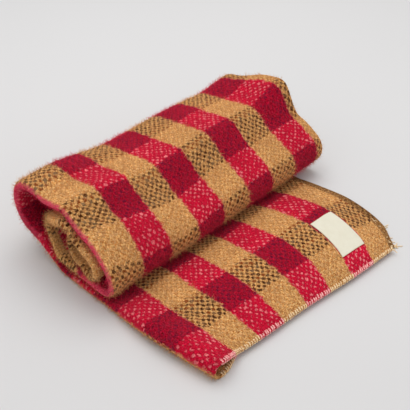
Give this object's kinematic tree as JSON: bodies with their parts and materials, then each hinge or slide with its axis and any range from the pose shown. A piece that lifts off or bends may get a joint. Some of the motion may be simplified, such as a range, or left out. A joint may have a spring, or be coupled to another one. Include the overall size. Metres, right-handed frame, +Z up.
{
  "type": "rolled blanket",
  "caption": "Woollen check blanket, doubled lengthwise and loosely rolled, its outer end laid out in front as a flap with a plain label.",
  "frame": {"origin": "middle of the bounding box, on the surface that the blanket rests on", "axes": "+X along the roll from the folded end to the open end, +Y from the flap to the roll, +Z up"},
  "size_m": [0.4798, 0.4456, 0.15],
  "materials": {
    "wool": "napped woven wool",
    "label": "plain woven tape"
  },
  "bodies": {
    "root": {"blanket": "wool", "label": "label"}
  },
  "joints": []
}
